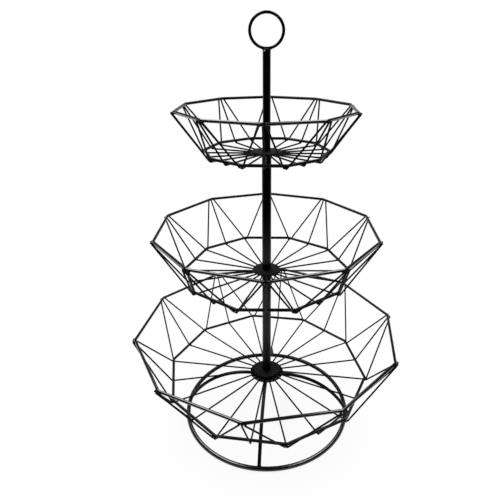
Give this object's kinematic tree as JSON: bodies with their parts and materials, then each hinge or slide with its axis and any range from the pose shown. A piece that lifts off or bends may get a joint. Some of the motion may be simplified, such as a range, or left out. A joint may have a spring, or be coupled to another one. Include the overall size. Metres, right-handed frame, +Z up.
{
  "type": "tiered fruit basket",
  "caption": "Free-standing wire fruit stand: decagonal welded baskets, smaller towards the top, on a central post with a ring handle, on a ground ring with bent legs.",
  "frame": {"origin": "on the ground, under the axis of the post", "axes": "+Z up along the post, -Y towards the viewer of the picture, +X to the viewer's right; the handle ring lies in the XZ plane"},
  "size_m": [0.3058, 0.3072, 0.4635],
  "materials": {
    "black_coat": "satin black powder coat",
    "zinc_steel": "bright zinc plate"
  },
  "bodies": {
    "stand": {"base_ring": "black_coat", "base_leg_1": "black_coat", "base_leg_2": "black_coat", "base_leg_3": "black_coat", "base_leg_4": "black_coat", "base_boss": "black_coat", "base_screw": "zinc_steel", "lower_post": "black_coat", "lower_post_foot_plug": "zinc_steel", "lower_post_head_plug": "zinc_steel", "lower_stud": "zinc_steel", "middle_post": "black_coat", "middle_post_foot_plug": "zinc_steel", "middle_post_head_plug": "zinc_steel", "upper_stud": "zinc_steel", "handle_rod": "black_coat", "handle_ring": "black_coat"},
    "lower_basket": {"lower_rim": "black_coat", "lower_floor_ring": "black_coat", "lower_spoke_frame": "black_coat", "lower_strut_01": "black_coat", "lower_strut_02": "black_coat", "lower_strut_03": "black_coat", "lower_strut_04": "black_coat", "lower_strut_05": "black_coat", "lower_strut_06": "black_coat", "lower_strut_07": "black_coat", "lower_strut_08": "black_coat", "lower_strut_09": "black_coat", "lower_strut_10": "black_coat"},
    "middle_basket": {"middle_rim": "black_coat", "middle_floor_ring": "black_coat", "middle_spoke_frame": "black_coat", "middle_strut_01": "black_coat", "middle_strut_02": "black_coat", "middle_strut_03": "black_coat", "middle_strut_04": "black_coat", "middle_strut_05": "black_coat", "middle_strut_06": "black_coat", "middle_strut_07": "black_coat", "middle_strut_08": "black_coat", "middle_strut_09": "black_coat", "middle_strut_10": "black_coat"},
    "top_basket": {"top_rim": "black_coat", "top_floor_ring": "black_coat", "top_spoke_frame": "black_coat", "top_strut_01": "black_coat", "top_strut_02": "black_coat", "top_strut_03": "black_coat", "top_strut_04": "black_coat", "top_strut_05": "black_coat", "top_strut_06": "black_coat", "top_strut_07": "black_coat", "top_strut_08": "black_coat", "top_strut_09": "black_coat", "top_strut_10": "black_coat"}
  },
  "joints": [
    {"name": "lower_basket_turn", "type": "hinge", "parent": "stand", "child": "lower_basket", "pos_m": [0, 0, 0.0549], "axis": [0, 0, 1], "continuous": true},
    {"name": "middle_basket_turn", "type": "hinge", "parent": "stand", "child": "middle_basket", "pos_m": [0, 0, 0.1911], "axis": [0, 0, 1], "continuous": true},
    {"name": "top_basket_turn", "type": "hinge", "parent": "stand", "child": "top_basket", "pos_m": [0, 0, 0.3273], "axis": [0, 0, 1], "continuous": true}
  ]
}
